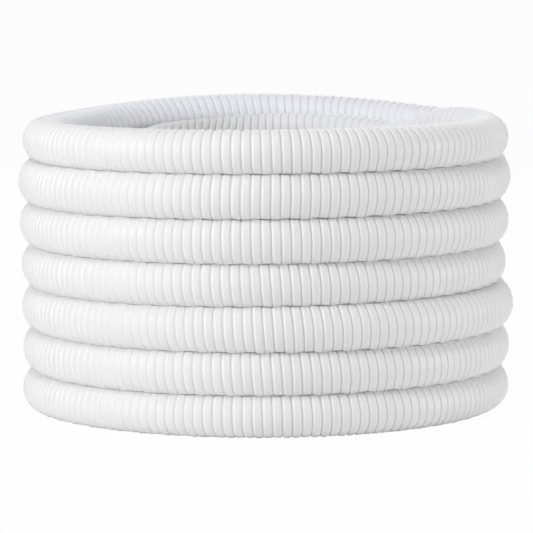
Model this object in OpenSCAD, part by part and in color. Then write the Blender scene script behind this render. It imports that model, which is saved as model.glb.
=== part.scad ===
// Pool vacuum hose, put away as a coil of seven turns.
// It has a fixed cuff on its lower end and a swivel cuff on its upper end.
// The origin is on the floor under the middle of the coil, +Z is up and the front of the coil faces -Y.
// A heading on the coil is 0 degrees at the front, 90 at the right, 180 at the back and 270 at the left.

/* [Hose] */
// Outside diameter, over the ribs
hose_od = 44; // [42:0.5:44]
// Bore of the hose
hose_bore = 38; // [30:0.5:38]
// Depth of the groove between two ribs
groove_depth = 1.8; // [0.6:0.1:1.9]
// Ribs drawn along the hose; the real wall has one about every 9 mm
ribs = 180; // [120:10:180]

/* [Coil] */
// Radius of the coil, to the middle of the hose
coil_r = 240; // [230:1:250]
// Turns seen from the front
turns = 7; // [7:1:7]
// Height that one turn takes
turn_pitch = 44.8; // [44.8:0.1:46]
// Depth of the flat that the hose's weight presses into its lowest turn
floor_flat = 2; // [1.9:0.1:2.4]
// Climb from the left to the right of the front, as a share of turn_pitch
front_climb = 0.085; // [0:0.005:0.1]
// Rise of the turns where they pass over the fixed cuff at the back, as a share of turn_pitch
back_rise = 0.3; // [0.29:0.01:0.35]

/* [Cuffs] */
// Outside diameter of both cuffs at the grip
cuff_od = 55; // [53:0.5:55]
// Diameter of the sockets that take a 1-1/2 inch tube
socket_d = 38.1; // [38:0.1:38.5]
// Depth of the sockets
socket_depth = 48; // [40:1:50]
// Length of hose inside the fixed cuff
fixed_grip = 40; // [36:1:44]
// Length of hose inside the swivel collar
swivel_grip = 36; // [32:1:40]

/* [Swivel] */
// Outside diameter of the collar's spigot, which the swivel cuff turns on
spigot_d = 45; // [44.6:0.1:45]
// Radial clearance of the retaining ring on the spigot
running_gap = 0.08; // [0.05:0.01:0.1]
// Diameter of the flange that the retaining ring holds in
flange_d = 49.6; // [49:0.1:49.8]

/* [Hidden] */

facets = 96;
white = [0.93, 0.93, 0.94];
warm_white = [0.88, 0.88, 0.89];
dark_rubber = [0.15, 0.15, 0.16];
slippery_white = [0.97, 0.97, 0.93];

// Hose section
hose_sides = 8;
side_angle = 360 / hose_sides;
flat_to_corner = 1 / cos(side_angle / 2);
crest_r = hose_od / 2 * flat_to_corner;
groove_r = (hose_od / 2 - groove_depth) * flat_to_corner;
bore_r = hose_bore / 2 * flat_to_corner;

// Coil. Each turn sits a little out of line with the next, the top one first.
turn_shift = [-0.7, -3.1, -1.9, -2.3, 1.8, 0.5, 0];
turn_growth = [-1.4, 0.9, 0.8, -1.5, 2.6, 0, 0];
blend_from = 95;
blend_span = 150;
first_z = hose_od / 2 - floor_flat;
cuff_z = cuff_od / 2;

// Headings between which the hose climbs to the next turn. The higher climbs are the shorter ones.
climb_from = 86;
lowest_climb_to = 164;
climb_shortening = 7;
front_half_width = 80;
rise_half_width = 78;

// The top crossing swings out to let the upper tail pass to its inner side.
swing_heading = 112;
swing_half_width = 40;
swing_out = 8;

// The upper tail rolls round the top crossing into the valley inside it.
roll_from = 79;
roll_to = 136;
roll_angle = 110;
settle_from = 150;
settle_to = 200;
settle_angle = 9;
nest_distance = 48.2;
nest_span = 16;

// Then it droops into the coil.
droop_from = 212;
droop_to = 262;
droop_depth = 82;
droop_inward = 36;

// The lower tail comes down off the cuff's height to the floor.
lower_tail_from = 180;
settle_start = 185;
settle_span = 55;
turns_end = 360 * turns;
wind_to = turns_end + droop_to;
end_run = 61;
tangent_step = 0.2;

// Cuff sections, along the axis from the hose side to the mouth
collar_r = cuff_od / 2;
seat_gap = 0.25;
hose_seat_r = crest_r + seat_gap;
socket_r = socket_d / 2;
mouth_r = 23;
grip_ridge = 1.2;
body_r = collar_r - grip_ridge;
edge = 1;
neck_taper = 8;
lip_length = 4;
stop_length = 4;
fixed_length = fixed_grip + stop_length + socket_depth;
grip_bands_drawn = 4;
grip_band_length = 4;
grip_band_pitch = 7;
fixed_bands_from = 6;
collar_bands_from = 5;
sleeve_end = swivel_grip + stop_length;
ring_from = sleeve_end + 3;
ring_length = 6;
washer_length = 2;
play = 0.2;
flange_length = 4;
gasket_length = 2;
cavity_r = 25.4;
thread_gap = 0.05;
washer_gap = 0.3;
gasket_inset = 1;
spigot_r = spigot_d / 2;
flange_r = flange_d / 2;
washer_from = ring_from + ring_length + play;
flange_from = washer_from + washer_length + play;
gasket_from = flange_from + flange_length + play / 2;
cavity_floor = gasket_from + gasket_length + play / 2;
swivel_mouth = cavity_floor + socket_depth;
cuff_start = ring_from - edge;
body_end = cavity_floor + stop_length;

// Smooth step from 0 to 1, and one of even bend
function clamp01(u) = min(max(u, 0), 1);
function ease(u) = let (v = clamp01(u)) v * v * (3 - 2 * v);
function even_ease(u) = let (v = clamp01(u)) v < 0.5 ? 2 * v * v : 1 - 2 * (1 - v) * (1 - v);
function bump(u) = abs(u) < 1 ? (1 + cos(180 * u)) / 2 : 0;
function mix(a, b, t) = a * (1 - t) + b * t;
function unit(v) = v / norm(v);

// Rise of the hose since the left of its turn, as a share of turn_pitch. lap 1 is the lowest turn.
function climb_to(lap) = lowest_climb_to - climb_shortening * (lap - 1);
function rise(lap, heading) =
    front_climb * ease((heading + front_half_width) / (2 * front_half_width))
    + (1 - front_climb) * even_ease((heading - climb_from) / (climb_to(lap) - climb_from))
    + back_rise * bump((heading - 180) / rise_half_width);

// Radius, sideways shift and height of the stacked turns. lap 0 is the lower tail.
function turn_of(lap) = min(turns - lap, turns - 1);
function turned(list, lap, heading) =
    mix(list[turn_of(lap)], list[max(turn_of(lap) - 1, 0)], lap == 0 ? 0 : ease((heading - blend_from) / blend_span));
function swing(lap, heading) =
    lap == turns - 1 ? swing_out * bump((heading - swing_heading) / swing_half_width) : 0;
function stack_r(lap, heading) = coil_r + turned(turn_growth, lap, heading) + swing(lap, heading);
function stack_z(lap, heading) =
    lap == 0
    ? mix(cuff_z, first_z, ease((heading - settle_start) / settle_span))
    : first_z + turn_pitch * (lap - 1 + rise(lap, heading));

// The upper tail, measured from the crossing that it nests inside
function roll(heading) =
    roll_angle * even_ease((heading - roll_from) / (roll_to - roll_from))
    + settle_angle * ease((heading - settle_from) / (settle_to - settle_from));
function nest(heading) = mix(turn_pitch, nest_distance, ease((heading - roll_from) / nest_span));
function droop(heading) = pow(max(heading - droop_from, 0) / (droop_to - droop_from), 2);
function tail_r(heading) =
    stack_r(turns - 1, heading) - nest(heading) * sin(roll(heading)) - droop_inward * droop(heading);
function tail_z(heading) =
    stack_z(turns - 1, heading) + nest(heading) * cos(roll(heading)) - droop_depth * droop(heading);

function on_coil(r, shift, heading, z) = [shift + r * sin(heading), -r * cos(heading), z];
function coil_point(angle) =
    let (lap = min(floor((angle + 90) / 360), turns))
    let (heading = angle - 360 * lap)
    lap == turns && heading > roll_from
    ? on_coil(tail_r(heading), turned(turn_shift, turns - 1, heading), heading, tail_z(heading))
    : on_coil(stack_r(lap, heading), turned(turn_shift, lap, heading), heading, stack_z(lap, heading));

// The two ends run on straight from the coil.
lower_dir = [1, 0, 0];
upper_dir = unit(coil_point(wind_to) - coil_point(wind_to - tangent_step));
mm_per_degree = coil_r * PI / 180;
upper_mm_per_degree = norm(coil_point(wind_to) - coil_point(wind_to - tangent_step)) / tangent_step;
route_from = lower_tail_from - end_run / mm_per_degree;
route_to = wind_to + end_run / upper_mm_per_degree;
function route(angle) =
    angle < lower_tail_from
    ? coil_point(lower_tail_from) + lower_dir * (lower_tail_from - angle) * mm_per_degree
    : angle > wind_to
    ? coil_point(wind_to) + upper_dir * (angle - wind_to) * upper_mm_per_degree
    : coil_point(angle);

stations = 2 * ribs;
angle_step = (route_to - route_from) / stations;
function station(i) = route(route_from + angle_step * i);
centres = [for (i = [0:stations]) station(i)];
lower_end = centres[0];
upper_end = centres[stations];

// One ring of the section. No point goes below the floor.
function heading_at(i) =
    i == 0 ? unit(centres[1] - centres[0])
    : i == stations ? unit(centres[stations] - centres[stations - 1])
    : unit(centres[i + 1] - centres[i - 1]);
function above_floor(p) = [p.x, p.y, max(p.z, 0)];
function ring(i, r) =
    let (along = heading_at(i))
    let (side = unit(cross(along, [0, 0, 1])))
    let (up = cross(side, along))
    [for (k = [0:hose_sides - 1])
        let (a = side_angle * (k + 0.5))
        above_floor(centres[i] + side * r * cos(a) + up * r * sin(a))];

// Least gap between two stretches of the hose, from each middle to each straight between two others
near_stations = 12;
function to_straight(p, a, b) = norm(a + (b - a) * clamp01((p - a) * (b - a) / ((b - a) * (b - a))) - p);
gaps = [
    for (i = [0:stations], j = [0:stations - 1])
        if (abs(i - j) >= near_stations)
            to_straight(centres[i], centres[j], centres[j + 1]) - hose_od
];
lengths = [for (i = [1:stations]) norm(centres[i] - centres[i - 1])];
function sum(list, i = 0, total = 0) = i == len(list) ? total : sum(list, i + 1, total + list[i]);
echo(least_gap_to_itself_mm = min(gaps));
echo(hose_length_mm = sum(lengths));
echo(lower_end = lower_end, lower_dir = lower_dir);
echo(upper_end = upper_end, upper_dir = upper_dir);

// Faces between two rings of a tube, whose first points have the numbers a and b
function band(a, b, flip) = [
    for (k = [0:hose_sides - 1])
        let (n = (k + 1) % hose_sides)
        each flip
            ? [[a + k, b + k, b + n], [a + k, b + n, a + n]]
            : [[a + k, b + n, b + k], [a + k, a + n, b + n]]
];

module hose() {
    outer = [for (i = [0:stations]) each ring(i, i % 2 == 0 ? groove_r : crest_r)];
    inner = [for (i = [0:ribs]) each ring(2 * i, bore_r)];
    first_inner = len(outer);
    outer_bands = [for (i = [0:stations - 1]) each band(i * hose_sides, (i + 1) * hose_sides, false)];
    inner_bands = [for (i = [0:ribs - 1])
        each band(first_inner + i * hose_sides, first_inner + (i + 1) * hose_sides, true)];
    lower_face = band(0, first_inner, true);
    upper_face = band(stations * hose_sides, first_inner + ribs * hose_sides, false);
    color(white)
        polyhedron(
            points = concat(outer, inner),
            faces = concat(outer_bands, inner_bands, lower_face, upper_face)
        );
}

// Puts a piece modelled along +Z on the axis of a hose end, with z = 0 at grip back from that end.
module at_end(end, dir, grip) {
    yaw = atan2(dir.y, dir.x);
    tilt = asin(dir.z);
    translate(end - dir * grip)
        rotate([0, 90 - tilt, yaw])
            children();
}

// A turned ring between two radii
module turned_ring(from, length, inner_r, outer_r) {
    rotate_extrude($fn = facets)
        translate([inner_r, from])
            square([outer_r - inner_r, length]);
}

// Raised bands that give the hand a hold
module grip_bands(from) {
    for (k = [0:grip_bands_drawn - 1])
        turned_ring(from + grip_band_pitch * k, grip_band_length, body_r - edge, collar_r);
}

module fixed_cuff() {
    color(warm_white)
        at_end(lower_end, lower_dir, fixed_grip) {
            rotate_extrude($fn = facets)
                polygon([
                    [hose_seat_r, 0],
                    [body_r - edge, 0],
                    [body_r, edge],
                    [body_r, fixed_grip],
                    [mouth_r, fixed_grip + neck_taper],
                    [mouth_r, fixed_length - lip_length],
                    [mouth_r + edge, fixed_length - lip_length + edge],
                    [mouth_r + edge, fixed_length - edge],
                    [mouth_r, fixed_length],
                    [socket_r, fixed_length],
                    [socket_r, fixed_grip],
                    [hose_seat_r, fixed_grip]
                ]);
            grip_bands(fixed_bands_from);
        }
}

module swivel_collar() {
    color(warm_white)
        at_end(upper_end, upper_dir, swivel_grip) {
            rotate_extrude($fn = facets)
                polygon([
                    [hose_seat_r, 0],
                    [body_r - edge, 0],
                    [body_r, edge],
                    [body_r, sleeve_end - edge],
                    [body_r - edge, sleeve_end],
                    [spigot_r, sleeve_end],
                    [spigot_r, flange_from],
                    [flange_r, flange_from],
                    [flange_r, flange_from + flange_length],
                    [socket_r, flange_from + flange_length],
                    [socket_r, swivel_grip],
                    [hose_seat_r, swivel_grip]
                ]);
            grip_bands(collar_bands_from);
        }
}

module swivel_cuff() {
    color(warm_white)
        at_end(upper_end, upper_dir, swivel_grip)
            rotate_extrude($fn = facets)
                polygon([
                    [cavity_r, cuff_start],
                    [collar_r - edge, cuff_start],
                    [collar_r, cuff_start + edge],
                    [collar_r, body_end],
                    [mouth_r, body_end + neck_taper],
                    [mouth_r, swivel_mouth - lip_length],
                    [mouth_r + edge, swivel_mouth - lip_length + edge],
                    [mouth_r + edge, swivel_mouth - edge],
                    [mouth_r, swivel_mouth],
                    [socket_r, swivel_mouth],
                    [socket_r, cavity_floor],
                    [cavity_r, cavity_floor]
                ]);
}

module swivel_retaining_ring() {
    color(slippery_white)
        at_end(upper_end, upper_dir, swivel_grip)
            turned_ring(ring_from, ring_length, spigot_r + running_gap, cavity_r - thread_gap);
}

module swivel_thrust_washer() {
    color(slippery_white)
        at_end(upper_end, upper_dir, swivel_grip)
            turned_ring(washer_from, washer_length, spigot_r + washer_gap, cavity_r - washer_gap);
}

module swivel_gasket() {
    color(dark_rubber)
        at_end(upper_end, upper_dir, swivel_grip)
            turned_ring(gasket_from, gasket_length, socket_r + gasket_inset, flange_r - gasket_inset);
}

hose();
fixed_cuff();
swivel_collar();
swivel_cuff();
swivel_retaining_ring();
swivel_thrust_washer();
swivel_gasket();
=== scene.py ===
"""Coiled pool vacuum hose: the spiral-ribbed hose, its two cuffs and a plain white studio."""

import math
from bisect import bisect_right

import bmesh
import bpy
from mathutils import Matrix, Vector


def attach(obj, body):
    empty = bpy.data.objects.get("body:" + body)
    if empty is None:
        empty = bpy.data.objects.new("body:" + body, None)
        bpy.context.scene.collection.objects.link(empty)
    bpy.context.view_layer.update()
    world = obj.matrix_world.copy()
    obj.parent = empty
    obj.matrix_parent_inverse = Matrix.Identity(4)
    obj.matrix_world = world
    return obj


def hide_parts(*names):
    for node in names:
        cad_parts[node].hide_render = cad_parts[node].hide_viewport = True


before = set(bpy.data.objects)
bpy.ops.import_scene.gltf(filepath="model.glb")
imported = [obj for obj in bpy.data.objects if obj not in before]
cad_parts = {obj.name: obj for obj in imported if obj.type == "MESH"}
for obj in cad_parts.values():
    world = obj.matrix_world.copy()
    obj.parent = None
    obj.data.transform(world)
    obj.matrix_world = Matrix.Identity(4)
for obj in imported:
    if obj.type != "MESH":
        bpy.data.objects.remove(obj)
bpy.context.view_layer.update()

bl_info = {
    "name": "Coiled Pool Vacuum Hose",
    "version": (1, 0, 0),
    "blender": (4, 5, 0),
    "location": "View3D > Sidebar > Hose",
    "description": "Models a coiled spiral-ribbed vacuum hose with a fixed cuff and a swivel cuff",
    "category": "Object",
}

MM = 0.001

# The way the hose is wound, as in part.scad, in millimetres and degrees. Lists run from the top turn down.
TURNS = 7
FIRST_Z = 20.0
CUFF_Z = 27.5
FRONT_CLIMB = 0.085
BACK_RISE = 0.3
TURN_SHIFT = [-0.7, -3.1, -1.9, -2.3, 1.8, 0.5, 0.0]
TURN_GROWTH = [-1.4, 0.9, 0.8, -1.5, 2.6, 0.0, 0.0]
BLEND_FROM = 95.0
BLEND_SPAN = 150.0
CLIMB_FROM = 86.0
LOWEST_CLIMB_TO = 164.0
CLIMB_SHORTENING = 7.0
FRONT_HALF_WIDTH = 80.0
RISE_HALF_WIDTH = 78.0
SWING_HEADING = 112.0
SWING_HALF_WIDTH = 40.0
SWING_OUT = 8.0
ROLL_FROM = 79.0
ROLL_TO = 136.0
ROLL_ANGLE = 110.0
SETTLE_FROM = 150.0
SETTLE_TO = 200.0
SETTLE_ANGLE = 9.0
NEST_DISTANCE = 48.2
NEST_SPAN = 16.0
DROOP_FROM = 212.0
DROOP_TO = 262.0
DROOP_DEPTH = 82.0
DROOP_INWARD = 36.0
LOWER_TAIL_FROM = 180.0
SETTLE_START = 185.0
SETTLE_SPAN = 55.0
END_RUN = 61.0
TANGENT_STEP = 0.2

# How far each turn's ribs stand up from the wound strip's own slant, in degrees, from the top turn down
RIB_UPRIGHTING = [3.0, 6.0, 3.0, 0.0, 0.0, 0.0, 3.0]
CONTACT_GAP = 0.00003

# How the hose's round section gives way: it spreads against the next turn, and its tail has a squarer shoulder
PRESS_SPREAD = 0.15
FRONT_SPREAD = (0.3, 0.2)
PRESS_REACH = 0.0012
ROUND = 2.0
SHOULDER = 3.2
TWIST_PER_RIB = math.radians(7.5)
TAIL_LEAN = 0.9

# The strip's own white, the cloudier one of its patches, the duller one of its rubbed crowns, and the painted shade of
# its grooves
HOSE_WHITE = (0.935, 0.935, 0.935, 1)
HOSE_CLOUD = (0.926, 0.926, 0.926, 1)
HOSE_RUBBED = (0.893, 0.893, 0.893, 1)
HOSE_GROOVE_SHADE = (0.68, 0.68, 0.68, 1)

# How much painted shade the grooves have: little at first and more at the right of the front, between these places in
# metres
GROOVE_SHADE_SHARE = (0.3, 0.85)
GROOVE_SHADE_X = (-0.04, 0.05)
GROOVE_SHADE_Y = (-0.05, -0.12)

# Painted cool light: the bluish white of the top crossing, and how much of it the tail has at its start, with their
# headings
HOSE_COOL_LIGHT = (0.9, 0.9, 0.948, 1)
COOL_FROM = (78.0, 112.0)
COOL_TO = (248.0, 282.0)
COOL_TAIL = 0.8
TAIL_FROM = (66.0, 92.0)
TAIL_TO = (165.0, 225.0)

# Painted shade on the hose's end, and the tail's headings between which it comes in
HOSE_END_SHADE = (0.74, 0.74, 0.745, 1)
END_SHADE_FROM = (165.0, 205.0)

# The crown of a rib is flat: half its width as a share of the rib, and how deep its dish takes the shading
CROWN_HALF = 0.23
CROWN_DISH = 0.00023

BODY = "coil"
SWIVEL_BODY = "swivel"
UP = Vector((0, 0, 1))


class HoseSettings(bpy.types.PropertyGroup):
    """Sizes of the hose and of its coil"""

    hose_od: bpy.props.FloatProperty(
        name="Outside Diameter", description="Over the ribs", default=0.0453, unit="LENGTH", precision=4
    )
    bore: bpy.props.FloatProperty(
        name="Bore", description="Inside diameter", default=0.038, unit="LENGTH", precision=4
    )
    groove_depth: bpy.props.FloatProperty(
        name="Groove Depth", description="Depth between two ribs", default=0.0018, unit="LENGTH", precision=4
    )
    rib_lead: bpy.props.FloatProperty(
        name="Rib Lead", description="Length of hose that one turn of the strip takes", default=0.00953, unit="LENGTH", precision=5
    )
    sides: bpy.props.IntProperty(name="Sides", description="Points round the hose", default=16, min=8, max=32)
    coil_radius: bpy.props.FloatProperty(
        name="Coil Radius", description="To the middle of the hose", default=0.240, unit="LENGTH", precision=4
    )
    turn_pitch: bpy.props.FloatProperty(
        name="Turn Pitch", description="Height that one turn takes", default=0.0448, unit="LENGTH", precision=4
    )


class StageSettings(bpy.types.PropertyGroup):
    """The camera's distance, pitch, roll, lens and target"""

    distance: bpy.props.FloatProperty(
        name="Camera Distance", description="From the middle of the coil", default=3.676, unit="LENGTH"
    )
    pitch: bpy.props.FloatProperty(
        name="Camera Pitch", description="How far the camera looks down", default=math.radians(5.919), subtype="ANGLE"
    )
    roll: bpy.props.FloatProperty(
        name="Camera Roll", description="Turn about the view axis", default=math.radians(0.078), subtype="ANGLE"
    )
    lens: bpy.props.FloatProperty(name="Lens", description="Focal length in millimetres", default=229.5)
    target: bpy.props.FloatVectorProperty(
        name="Target", description="The point that the camera looks at", default=(0.0006, 0, 0.1498), unit="LENGTH"
    )


# Route of the hose


def clamp01(u):
    return min(max(u, 0.0), 1.0)


def ease(u):
    v = clamp01(u)
    return v * v * (3 - 2 * v)


def even_ease(u):
    v = clamp01(u)
    return 2 * v * v if v < 0.5 else 1 - 2 * (1 - v) ** 2


def bump(u):
    return (1 + math.cos(math.pi * u)) / 2 if abs(u) < 1 else 0.0


def mix(a, b, t):
    return a * (1 - t) + b * t


class Winding:
    """The route of the hose as a function of its angle, in millimetres"""

    def __init__(self, settings):
        self.coil_r = settings.coil_radius / MM
        self.pitch = settings.turn_pitch / MM
        self.wind_to = 360 * TURNS + DROOP_TO

    def rise(self, lap, heading):
        climb_to = LOWEST_CLIMB_TO - CLIMB_SHORTENING * (lap - 1)
        front = FRONT_CLIMB * ease((heading + FRONT_HALF_WIDTH) / (2 * FRONT_HALF_WIDTH))
        crossing = (1 - FRONT_CLIMB) * even_ease((heading - CLIMB_FROM) / (climb_to - CLIMB_FROM))
        over_cuff = BACK_RISE * bump((heading - 180) / RISE_HALF_WIDTH)
        return front + crossing + over_cuff

    def turned(self, per_turn, lap, heading):
        turn = min(TURNS - lap, TURNS - 1)
        blend = 0 if lap == 0 else ease((heading - BLEND_FROM) / BLEND_SPAN)
        return mix(per_turn[turn], per_turn[max(turn - 1, 0)], blend)

    def stack_r(self, lap, heading):
        swing = SWING_OUT * bump((heading - SWING_HEADING) / SWING_HALF_WIDTH) if lap == TURNS - 1 else 0
        return self.coil_r + self.turned(TURN_GROWTH, lap, heading) + swing

    def stack_z(self, lap, heading):
        if lap == 0:
            return mix(CUFF_Z, FIRST_Z, ease((heading - SETTLE_START) / SETTLE_SPAN))
        return FIRST_Z + self.pitch * (lap - 1 + self.rise(lap, heading))

    def tail(self, heading):
        """Radius and height of the upper tail, which nests inside the top crossing and then droops"""
        roll = ROLL_ANGLE * even_ease((heading - ROLL_FROM) / (ROLL_TO - ROLL_FROM))
        roll += SETTLE_ANGLE * ease((heading - SETTLE_FROM) / (SETTLE_TO - SETTLE_FROM))
        roll = math.radians(roll)
        nest = mix(self.pitch, NEST_DISTANCE, ease((heading - ROLL_FROM) / NEST_SPAN))
        droop = (max(heading - DROOP_FROM, 0) / (DROOP_TO - DROOP_FROM)) ** 2
        r = self.stack_r(TURNS - 1, heading) - nest * math.sin(roll) - DROOP_INWARD * droop
        z = self.stack_z(TURNS - 1, heading) + nest * math.cos(roll) - DROOP_DEPTH * droop
        return r, z

    def point(self, angle):
        lap = min(math.floor((angle + 90) / 360), TURNS)
        heading = angle - 360 * lap
        if lap == TURNS and heading > ROLL_FROM:
            r, z = self.tail(heading)
            shift = self.turned(TURN_SHIFT, TURNS - 1, heading)
        else:
            r, z = self.stack_r(lap, heading), self.stack_z(lap, heading)
            shift = self.turned(TURN_SHIFT, lap, heading)
        a = math.radians(heading)
        return Vector((shift + r * math.sin(a), -r * math.cos(a), z))


class Route:
    """Closely spaced stations along the hose, with a frame, the length and the rib count at each"""

    step = 1.5

    def __init__(self, settings):
        winding = Winding(settings)
        first = winding.point(LOWER_TAIL_FROM)
        last = winding.point(winding.wind_to)
        self.lower_dir = Vector((1, 0, 0))
        self.upper_dir = (last - winding.point(winding.wind_to - TANGENT_STEP)).normalized()
        degrees = math.degrees(self.step / winding.coil_r)
        rounds = math.ceil((winding.wind_to - LOWER_TAIL_FROM) / degrees)
        runs = math.ceil(END_RUN / self.step)
        points = [first + self.lower_dir * END_RUN * (1 - i / runs) for i in range(runs)]
        angles = [mix(LOWER_TAIL_FROM, winding.wind_to, i / rounds) for i in range(rounds + 1)]
        points += [winding.point(angle) for angle in angles]
        points += [last + self.upper_dir * END_RUN * (i + 1) / runs for i in range(runs)]
        angles = [LOWER_TAIL_FROM] * runs + angles + [winding.wind_to] * runs
        self.points = [p * MM for p in points]
        self.angles = angles
        self.lengths = [0.0]
        self.ribs = [0.0]
        for a, b, angle in zip(self.points, self.points[1:], angles):
            run = (b - a).length
            self.lengths.append(self.lengths[-1] + run)
            self.ribs.append(self.ribs[-1] + run / (settings.rib_lead * rib_stretch(angle)))
        ends = [self.points[0], *self.points, self.points[-1]]
        self.along = [(ends[i + 2] - ends[i]).normalized() for i in range(len(self.points))]
        self.side = [direction.cross(UP).normalized() for direction in self.along]
        self.above = [side.cross(direction) for side, direction in zip(self.side, self.along)]
        self.uprighting = []
        self.neighbours = []
        self.spread = []
        self.shoulder = []
        for point, angle in zip(self.points, self.angles):
            lap = min(math.floor((angle + 90) / 360), TURNS)
            heading = angle - 360 * lap
            upright = math.tan(math.radians(winding.turned(RIB_UPRIGHTING, lap, heading)))
            if lap == TURNS:
                upright -= TAIL_LEAN * ease((heading - 166) / 50) * (1 - ease((heading - 232) / 25))
            self.uprighting.append(upright)
            front = 1 - ease((abs(heading) - 48) / 34)
            beside, spread = [], []
            for other in (angle - 360, angle + 360):
                press = 0
                if LOWER_TAIL_FROM <= other <= winding.wind_to:
                    towards = winding.point(other) * MM - point
                    reach = towards.length / 2 - CONTACT_GAP
                    beside.append((towards.normalized(), reach))
                    press = clamp01((settings.hose_od / 2 + PRESS_REACH - reach) / PRESS_REACH)
                spread.append(1 + mix(PRESS_SPREAD, FRONT_SPREAD[len(spread)], front) * press)
            squarer = ease((heading - 110) / 40) if lap == TURNS else 0
            self.neighbours.append(beside)
            self.spread.append(spread)
            self.shoulder.append(mix(ROUND, SHOULDER, squarer))

    def rib_at(self, lap, heading):
        return self.ribs[bisect_right(self.angles, 360 * lap + heading) - 1]

    def station(self, rib):
        """The station before that many ribs, and how far on from it they end"""
        i = min(max(bisect_right(self.ribs, rib) - 1, 0), len(self.ribs) - 2)
        return i, clamp01((rib - self.ribs[i]) / (self.ribs[i + 1] - self.ribs[i]))

    def at_rib(self, rib):
        """Centre, side and upward direction of the hose where that many ribs have passed"""
        i, t = self.station(rib)
        centre = self.points[i].lerp(self.points[i + 1], t)
        side = self.side[i].lerp(self.side[i + 1], t)
        above = self.above[i].lerp(self.above[i + 1], t)
        return centre, side, above


def rib_stretch(angle):
    """How much further apart the ribs are than in the rest of the hose. The crossing and the tail are pulled."""
    lap = min(math.floor((angle + 90) / 360), TURNS)
    heading = angle - 360 * lap
    if lap == TURNS:
        return 1 + 0.09 * ease((heading - 90) / 60)
    if lap == TURNS - 1:
        return 1 + 0.04 * ease((heading - 90) / 50) * (1 - ease((heading - 235) / 30))
    return 1.0


# Hose mesh

# One rib: its places along the lead and how far each is below the crest, as a share of the groove's depth
RIB_PROFILE = [(0.0, 1.0), (0.09, 0.48), (0.27, 0.0), (0.73, 0.0), (0.91, 0.48), (1.0, 1.0)]
SECTION_RIBS = 24
BORE_RING_RIBS = 4


def wound_section(settings):
    """A straight stretch of the wall along +X, wound from one rib's profile"""
    bm = bmesh.new()
    crest = settings.hose_od / 2
    lead = settings.rib_lead
    verts = [bm.verts.new((at * lead, -(crest - low * settings.groove_depth), 0)) for at, low in RIB_PROFILE]
    edges = [bm.edges.new(pair) for pair in zip(verts, verts[1:])]
    bmesh.ops.spin(
        bm,
        geom=verts + edges,
        cent=(0, 0, 0),
        axis=(1, 0, 0),
        dvec=(lead / settings.sides, 0, 0),
        angle=2 * math.pi * SECTION_RIBS,
        steps=settings.sides * SECTION_RIBS,
        use_duplicate=False,
    )
    bmesh.ops.remove_doubles(bm, verts=bm.verts, dist=lead * 0.01)
    section = bpy.data.meshes.new("wound_section")
    bm.to_mesh(section)
    bm.free()
    return section


def cut_end(bm, x, outward):
    """Cuts the wall off square at x and gives the edges of the cut"""
    cut = bmesh.ops.bisect_plane(
        bm,
        geom=bm.verts[:] + bm.edges[:] + bm.faces[:],
        dist=1e-6,
        plane_co=(x, 0, 0),
        plane_no=(outward, 0, 0),
        clear_outer=True,
    )
    return [e for e in cut["geom_cut"] if isinstance(e, bmesh.types.BMEdge)]


def straight_hose(settings, ribs):
    """The whole hose before it is coiled, along +X from 0, with its bore"""
    lead = settings.rib_lead
    length = ribs * lead
    section = wound_section(settings)
    section.transform(Matrix.Translation((-lead, 0, 0)))
    bm = bmesh.new()
    for _ in range(math.ceil((ribs + 2) / SECTION_RIBS)):
        bm.from_mesh(section)
        section.transform(Matrix.Translation((SECTION_RIBS * lead, 0, 0)))
    bpy.data.meshes.remove(section)
    bmesh.ops.remove_doubles(bm, verts=bm.verts, dist=lead * 0.01)
    ends = cut_end(bm, 0, -1) + cut_end(bm, length, 1)

    rings = math.ceil(ribs / BORE_RING_RIBS)
    bore = bmesh.ops.create_circle(
        bm,
        segments=settings.sides,
        radius=settings.bore / 2,
        matrix=Matrix.Rotation(math.pi / 2, 4, "Y"),
    )["verts"]
    first_ring = list({e for v in bore for e in v.link_edges})
    tube = bmesh.ops.spin(
        bm,
        geom=bore + first_ring,
        axis=(1, 0, 0),
        dvec=(length / rings, 0, 0),
        angle=0,
        steps=rings,
        use_duplicate=False,
    )
    last_ring = [e for e in tube["geom_last"] if isinstance(e, bmesh.types.BMEdge)]
    for x, ring in ((0, first_ring), (length, last_ring)):
        loop = [e for e in ends if e.is_valid and abs(e.verts[0].co.x - x) < lead]
        bmesh.ops.triangle_fill(bm, edges=loop + ring, use_beauty=True)
    bmesh.ops.recalc_face_normals(bm, faces=bm.faces)
    return bm


def write_rib_uv(bm, settings):
    """U runs across each rib from groove to groove, and V counts the turns of the wound strip"""
    layer = bm.loops.layers.uv.new("Rib")
    lead = settings.rib_lead
    outside = (settings.bore / 2 + settings.hose_od / 2 - settings.groove_depth) / 2
    for face in bm.faces:
        middle = face.calc_center_median()
        around = math.atan2(middle.z, -middle.y) / (2 * math.pi)
        across = middle.x / lead + around
        strip = math.floor(across)
        wall = math.hypot(middle.y, middle.z) > outside
        for loop in face.loops:
            co = loop.vert.co
            turn = math.atan2(co.z, -co.y) / (2 * math.pi)
            turn += round(around - turn)
            u = co.x / lead + turn - strip if wall else 0.5
            loop[layer].uv = (u, strip - turn)


def pressed(y, z, spread, shoulder):
    """Moves a point of the round wall out to where the pressed section has it"""
    if y > 0 and z > 0:
        r = math.hypot(y, z)
        out = ((y / r) ** shoulder + (z / r) ** shoulder) ** (-1 / shoulder)
        y, z = y * out, z * out
    return y, z * spread[z > 0]


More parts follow.
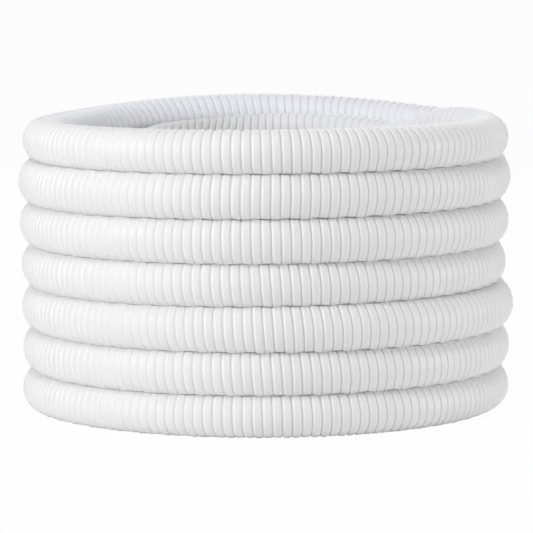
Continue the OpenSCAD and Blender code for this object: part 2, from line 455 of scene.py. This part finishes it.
def coil_up(bm, settings, route):
    """Bends the straight hose along the route. The next turns and the floor flatten what they meet."""
    lead = settings.rib_lead
    wall = settings.bore / 2 + 0.1 * MM
    for vert in bm.verts:
        x, y, z = Matrix.Rotation(TWIST_PER_RIB * vert.co.x / lead, 3, "X") @ vert.co
        before, _ = route.station(x / lead)
        centre, side, above = route.at_rib((x + z * route.uprighting[before]) / lead)
        if math.hypot(y, z) > wall:
            y, z = pressed(y, z, route.spread[before], route.shoulder[before])
        co = centre - side * y + above * z
        for towards, reach in route.neighbours[before]:
            over = (co - centre).dot(towards) - reach
            if over > 0:
                co -= towards * over
        co.z = max(co.z, 0)
        vert.co = co


def smooth_object(name, bm, material):
    """A finished object from a bmesh, with smooth faces"""
    mesh = bpy.data.meshes.new(name)
    for face in bm.faces:
        face.smooth = True
    bm.to_mesh(mesh)
    bm.free()
    mesh.materials.append(material)
    obj = bpy.data.objects.new(name, mesh)
    bpy.context.collection.objects.link(obj)
    return obj


# Materials


def new_node(tree, kind, inputs=None, **properties):
    """A node with its properties set, and each named input either linked or given a value"""
    node = tree.nodes.new(kind)
    for name, value in properties.items():
        setattr(node, name, value)
    for name, value in (inputs or {}).items():
        if isinstance(value, bpy.types.NodeSocket):
            tree.links.new(value, node.inputs[name])
        else:
            node.inputs[name].default_value = value
    return node


def map_range(tree, value, low, high, to_low=0.0, to_high=1.0):
    """A smooth step of a value from one range to another"""
    node = new_node(
        tree,
        "ShaderNodeMapRange",
        {"Value": value, "From Min": low, "From Max": high, "To Min": to_low, "To Max": to_high},
        interpolation_type="SMOOTHSTEP",
    )
    return node.outputs["Result"]


def math_node(tree, operation, first, second):
    return new_node(tree, "ShaderNodeMath", {0: first, 1: second}, operation=operation).outputs[0]


def blend_colour(tree, share, first, second):
    node = new_node(tree, "ShaderNodeMix", data_type="RGBA")
    factor, a, b = node.inputs[0], node.inputs[6], node.inputs[7]
    for socket, value in ((factor, share), (a, first), (b, second)):
        if isinstance(value, bpy.types.NodeSocket):
            tree.links.new(value, socket)
        else:
            socket.default_value = value
    return node.outputs[2]


def moulded_surface():
    """The group of marks that a moulded surface has: fine grain, broad cloudy patches and hairline scuffs"""
    group = bpy.data.node_groups.get("moulded surface")
    if group:
        return group
    group = bpy.data.node_groups.new("moulded surface", "ShaderNodeTree")
    group.interface.new_socket(name="Vector", in_out="INPUT", socket_type="NodeSocketVector")
    for name, value in (("Grain Scale", 2500.0), ("Patch Scale", 18.0), ("Scuff Scale", 60.0)):
        socket = group.interface.new_socket(name=name, in_out="INPUT", socket_type="NodeSocketFloat")
        socket.default_value = value
    for name in ("Grain", "Patches", "Scuffs"):
        group.interface.new_socket(name=name, in_out="OUTPUT", socket_type="NodeSocketFloat")
    given = new_node(group, "NodeGroupInput").outputs
    place = given["Vector"]
    grain = new_node(group, "ShaderNodeTexNoise", {"Vector": place, "Scale": given["Grain Scale"], "Detail": 3.0})
    patches = new_node(group, "ShaderNodeTexNoise", {"Vector": place, "Scale": given["Patch Scale"], "Detail": 4.0})
    drawn = new_node(group, "ShaderNodeMapping", {"Vector": place, "Scale": (1.0, 0.12, 0.5), "Rotation": (0.3, 0.9, 0.6)})
    lines = new_node(
        group,
        "ShaderNodeTexNoise",
        {"Vector": drawn.outputs["Vector"], "Scale": given["Scuff Scale"], "Detail": 6.0, "Roughness": 0.75},
    )
    marks = new_node(
        group,
        "NodeGroupOutput",
        {
            "Grain": grain.outputs["Fac"],
            "Patches": map_range(group, patches.outputs["Fac"], 0.32, 0.68),
            "Scuffs": map_range(group, lines.outputs["Fac"], 0.6, 0.68),
        },
    )
    marks.is_active_output = True
    return group


def moulded_marks(tree, **scales):
    """The moulded surface's marks on a piece's own coordinates"""
    place = new_node(tree, "ShaderNodeTexCoord").outputs["Object"]
    inputs = {name.replace("_", " "): value for name, value in scales.items()}
    node = tree.nodes.new("ShaderNodeGroup")
    node.node_tree = moulded_surface()
    tree.links.new(place, node.inputs["Vector"])
    for name, value in inputs.items():
        node.inputs[name].default_value = value
    return node.outputs


def bump_normal(tree, height, depth):
    """The normal of a bump that is depth metres high"""
    return new_node(tree, "ShaderNodeBump", {"Height": height, "Distance": depth}).outputs["Normal"]


def new_material(name, **values):
    material = bpy.data.materials.new(name)
    material.use_nodes = True
    shader = material.node_tree.nodes["Principled BSDF"]
    for socket, value in values.items():
        shader.inputs[socket.replace("_", " ")].default_value = value
    return material, shader


def finish_material(tree, shader, colour, roughness, normal):
    for socket, value in (("Base Color", colour), ("Roughness", roughness), ("Normal", normal)):
        tree.links.new(value, shader.inputs[socket])


def hose_plastic(route):
    """White wound strip: flat glossy crowns, painted shade in each groove that grows towards the right of the front,
    painted cool light where it crosses on top, and painted shade at its end
    """
    material, shader = new_material("hose plastic", IOR=1.5)
    tree = material.node_tree
    uv = new_node(tree, "ShaderNodeUVMap", uv_map="Rib").outputs["UV"]
    rib = new_node(tree, "ShaderNodeSeparateXYZ", {"Vector": uv}).outputs
    from_groove = math_node(tree, "PINGPONG", rib["X"], 0.5)
    groove = map_range(tree, from_groove, 0.02, 0.12, 1.0, 0.0)
    marks = moulded_marks(tree, Grain_Scale=1800.0, Patch_Scale=22.0, Scuff_Scale=45.0)

    # Painted cool light: a bluish tint along the top crossing and the start of the tail
    crossing = TURNS - 1
    start = [route.rib_at(crossing, heading) for heading in COOL_FROM]
    end = [route.rib_at(crossing, heading) for heading in COOL_TO]
    tail_start = [route.rib_at(TURNS, heading) for heading in TAIL_FROM]
    tail_end = [route.rib_at(TURNS, heading) for heading in TAIL_TO]
    cool_light = math_node(
        tree, "MULTIPLY", map_range(tree, rib["Y"], *start), map_range(tree, rib["Y"], *end, 1.0, 0.0)
    )
    tail = math_node(
        tree, "MULTIPLY", map_range(tree, rib["Y"], *tail_start, 0.0, COOL_TAIL), map_range(tree, rib["Y"], *tail_end, 1.0, 0.2)
    )
    cool_light = math_node(tree, "ADD", cool_light, tail)
    white = blend_colour(tree, marks["Patches"], HOSE_WHITE, HOSE_CLOUD)
    white = blend_colour(tree, map_range(tree, from_groove, 0.22, 0.34), white, HOSE_RUBBED)
    white = blend_colour(tree, cool_light, white, HOSE_COOL_LIGHT)
    # Painted shade: the hose's end is darkened
    end_shade = [route.rib_at(TURNS, heading) for heading in END_SHADE_FROM]
    white = blend_colour(tree, map_range(tree, rib["Y"], *end_shade), white, HOSE_END_SHADE)
    # Painted shade: the grooves are darkened, more and more towards the right of the front
    place = new_node(tree, "ShaderNodeTexCoord").outputs["Object"]
    place = new_node(tree, "ShaderNodeSeparateXYZ", {"Vector": place}).outputs
    right = map_range(tree, place["X"], *GROOVE_SHADE_X)
    front = map_range(tree, place["Y"], *GROOVE_SHADE_Y)
    share = map_range(tree, math_node(tree, "MULTIPLY", right, front), 0.0, 1.0, *GROOVE_SHADE_SHARE)
    colour = blend_colour(tree, math_node(tree, "MULTIPLY", groove, share), white, HOSE_GROOVE_SHADE)

    worn = math_node(tree, "ADD", math_node(tree, "MULTIPLY", marks["Patches"], 0.05), 0.39)
    worn = math_node(tree, "ADD", worn, math_node(tree, "MULTIPLY", marks["Scuffs"], 0.1))
    roughness = math_node(tree, "ADD", worn, math_node(tree, "MULTIPLY", groove, 0.2))

    from_crown = math_node(tree, "DIVIDE", math_node(tree, "SUBTRACT", 0.5, from_groove), CROWN_HALF)
    dish = math_node(tree, "POWER", math_node(tree, "MINIMUM", from_crown, 1.0), 2.0)
    height = math_node(tree, "ADD", dish, math_node(tree, "MULTIPLY", marks["Grain"], 0.06))
    finish_material(tree, shader, colour, roughness, bump_normal(tree, height, CROWN_DISH))
    return material


def cuff_plastic():
    """White injection-moulded plastic with a fine etched grain and light scuffs"""
    material, shader = new_material("cuff plastic", IOR=1.5)
    tree = material.node_tree
    marks = moulded_marks(tree, Grain_Scale=2200.0, Patch_Scale=26.0, Scuff_Scale=70.0)
    clean = blend_colour(tree, marks["Patches"], (0.9, 0.9, 0.905, 1), (0.87, 0.87, 0.875, 1))
    scuffed = math_node(tree, "MULTIPLY", marks["Scuffs"], 0.3)
    colour = blend_colour(tree, scuffed, clean, (0.72, 0.72, 0.72, 1))
    worn = math_node(tree, "ADD", math_node(tree, "MULTIPLY", marks["Scuffs"], 0.18), 0.36)
    roughness = math_node(tree, "ADD", worn, math_node(tree, "MULTIPLY", marks["Patches"], 0.06))
    finish_material(tree, shader, colour, roughness, bump_normal(tree, marks["Grain"], 0.00005))
    return material


def bearing_plastic():
    """Ivory acetal that has been polished where it rubs"""
    material, shader = new_material("bearing plastic", IOR=1.48)
    tree = material.node_tree
    marks = moulded_marks(tree, Grain_Scale=1400.0, Patch_Scale=60.0, Scuff_Scale=120.0)
    colour = blend_colour(tree, marks["Patches"], (0.8, 0.79, 0.73, 1), (0.74, 0.73, 0.67, 1))
    rubbed = math_node(tree, "MULTIPLY", marks["Scuffs"], -0.16)
    roughness = math_node(tree, "ADD", math_node(tree, "MULTIPLY", marks["Patches"], 0.08), 0.4)
    roughness = math_node(tree, "ADD", roughness, rubbed)
    finish_material(tree, shader, colour, roughness, bump_normal(tree, marks["Grain"], 0.00002))
    return material


def seal_rubber():
    """Black rubber with a dull bloom"""
    material, shader = new_material("seal rubber", IOR=1.5)
    tree = material.node_tree
    marks = moulded_marks(tree, Grain_Scale=1600.0, Patch_Scale=80.0, Scuff_Scale=90.0)
    bloom = math_node(tree, "MULTIPLY", marks["Patches"], 0.35)
    colour = blend_colour(tree, bloom, (0.022, 0.022, 0.024, 1), (0.07, 0.07, 0.072, 1))
    roughness = math_node(tree, "ADD", math_node(tree, "MULTIPLY", marks["Patches"], 0.12), 0.62)
    finish_material(tree, shader, colour, roughness, bump_normal(tree, marks["Grain"], 0.00006))
    return material


# Stage

# Each softbox: degrees to the right of the camera and above the coil's middle, metres away, its size, watts
LAMPS = [
    ("left softbox", -60, 20, 3.6, (1.4, 1.4), 43.0),
    ("high softbox", -16, 56, 3.6, (1.4, 1.4), 27.0),
    ("front softbox", -15, 13, 3.5, (1.2, 1.2), 17.0),
    ("right softbox", 80, 6, 3.2, (1.4, 0.8), 30.0),
    ("top softbox", 0, 88, 2.6, (1.6, 1.6), 14.0),
    ("rear softbox", 170, 30, 3.2, (1.4, 1.4), 11.0),
]
WORLD_LIGHT = 0.1
AIM = Vector((0, 0, 0.15))


def add_lamp(name, location, target, size, energy):
    lamp = bpy.data.lights.new(name, "AREA")
    lamp.shape = "RECTANGLE"
    lamp.size, lamp.size_y = size
    lamp.energy = energy
    obj = bpy.data.objects.new(name, lamp)
    obj.location = location
    obj.rotation_euler = (Vector(target) - Vector(location)).to_track_quat("-Z", "Y").to_euler()
    bpy.context.collection.objects.link(obj)
    return obj


def seen_rays(nodes, links):
    """1 for what the camera sees directly, mirrored or through glass, and 0 for the light that falls on things"""
    path = nodes.new("ShaderNodeLightPath")
    total = path.outputs["Is Camera Ray"]
    for ray in ("Is Glossy Ray", "Is Transmission Ray"):
        either = nodes.new("ShaderNodeMath")
        either.operation = "MAXIMUM"
        links.new(total, either.inputs[0])
        links.new(path.outputs[ray], either.inputs[1])
        total = either.outputs[0]
    return total


def white_world(strength):
    """A grey world that looks white to the camera and in reflections"""
    world = bpy.data.worlds.new("white studio")
    bpy.context.scene.world = world
    world.use_nodes = True
    nodes, links = world.node_tree.nodes, world.node_tree.links
    background = nodes["Background"]
    background.inputs["Color"].default_value = (1, 1, 1, 1)
    level = nodes.new("ShaderNodeMapRange")
    level.inputs["To Min"].default_value = strength
    level.inputs["To Max"].default_value = 1.0
    links.new(seen_rays(nodes, links), level.inputs["Value"])
    links.new(level.outputs["Result"], background.inputs["Strength"])
    return world


def floor_paint():
    """A pale floor that is almost white to the camera and keeps a faint shadow"""
    material, shader = new_material("floor paint", Roughness=0.9)
    shader.inputs["Base Color"].default_value = (0.95, 0.95, 0.95, 1)
    nodes, links = material.node_tree.nodes, material.node_tree.links
    glow = nodes.new("ShaderNodeEmission")
    glow.inputs["Strength"].default_value = 1.0
    share = nodes.new("ShaderNodeMath")
    share.operation = "MULTIPLY"
    share.inputs[1].default_value = 0.97
    blend = nodes.new("ShaderNodeMixShader")
    links.new(seen_rays(nodes, links), share.inputs[0])
    links.new(share.outputs[0], blend.inputs["Fac"])
    links.new(shader.outputs[0], blend.inputs[1])
    links.new(glow.outputs[0], blend.inputs[2])
    links.new(blend.outputs[0], nodes["Material Output"].inputs["Surface"])
    return material


class HOSE_OT_stage(bpy.types.Operator):
    """Sets up the camera, the floor, the lamps and the white world"""

    bl_idname = "hose.stage"
    bl_label = "Stage"

    def execute(self, context):
        stage = context.scene.hose_stage
        lens = bpy.data.cameras.new("camera")
        lens.sensor_width = 36
        lens.lens = stage.lens
        lens.clip_end = 100
        camera = bpy.data.objects.new("camera", lens)
        context.collection.objects.link(camera)
        turn = Matrix.Rotation(math.pi / 2 - stage.pitch, 4, "X") @ Matrix.Rotation(stage.roll, 4, "Z")
        forward = Vector((0, math.cos(stage.pitch), -math.sin(stage.pitch)))
        camera.matrix_world = Matrix.Translation(Vector(stage.target) - forward * stage.distance) @ turn
        context.scene.camera = camera

        bm = bmesh.new()
        bmesh.ops.create_grid(bm, x_segments=1, y_segments=1, size=40)
        bmesh.ops.translate(bm, verts=bm.verts, vec=(0, 0, -0.0004))
        smooth_object("floor", bm, floor_paint())

        white_world(WORLD_LIGHT)
        for name, compass, height, away, size, energy in LAMPS:
            flat = away * math.cos(math.radians(height))
            bearing = math.radians(compass)
            place = Vector((flat * math.sin(bearing), -flat * math.cos(bearing), away * math.sin(math.radians(height))))
            add_lamp(name, place + AIM, AIM, size, energy)
        context.scene.view_settings.view_transform = "Standard"
        return {"FINISHED"}


class HOSE_OT_hose(bpy.types.Operator):
    bl_idname = "hose.hose"
    bl_label = "Ribbed Hose"

    def execute(self, context):
        settings = context.scene.hose_sizes
        route = Route(settings)
        bm = straight_hose(settings, route.ribs[-1])
        write_rib_uv(bm, settings)
        coil_up(bm, settings, route)
        hose = smooth_object("ribbed_hose", bm, hose_plastic(route))
        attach(hose, BODY)
        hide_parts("hose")
        return {"FINISHED"}


class HOSE_OT_cuffs(bpy.types.Operator):
    """Finishes the cuffs and the parts of the swivel"""

    bl_idname = "hose.cuffs"
    bl_label = "Cuffs and Swivel"

    def execute(self, context):
        cuff, bearing, seal = cuff_plastic(), bearing_plastic(), seal_rubber()
        finishes = {
            "fixed_cuff": cuff,
            "swivel_collar": cuff,
            "swivel_cuff": cuff,
            "swivel_retaining_ring": bearing,
            "swivel_thrust_washer": bearing,
            "swivel_gasket": seal,
        }
        for node, material in finishes.items():
            bpy.data.objects[node].material_slots[0].material = material
        return {"FINISHED"}


class HOSE_PT_panel(bpy.types.Panel):
    """The pieces of the hose"""

    bl_label = "Coiled Hose"
    bl_idname = "HOSE_PT_panel"
    bl_space_type = "VIEW_3D"
    bl_region_type = "UI"
    bl_category = "Hose"

    def draw(self, context):
        for operator in OPERATORS:
            self.layout.operator(operator.bl_idname)


OPERATORS = [HOSE_OT_stage, HOSE_OT_hose, HOSE_OT_cuffs]
CLASSES = [HoseSettings, StageSettings, *OPERATORS, HOSE_PT_panel]


def register():
    for cls in CLASSES:
        bpy.utils.register_class(cls)
    bpy.types.Scene.hose_sizes = bpy.props.PointerProperty(type=HoseSettings)
    bpy.types.Scene.hose_stage = bpy.props.PointerProperty(type=StageSettings)


def unregister():
    del bpy.types.Scene.hose_stage
    del bpy.types.Scene.hose_sizes
    for cls in reversed(CLASSES):
        bpy.utils.unregister_class(cls)


def main():
    register()
    bpy.ops.hose.stage()
    bpy.ops.hose.hose()
    bpy.ops.hose.cuffs()


if __name__ == "__main__":
    main()
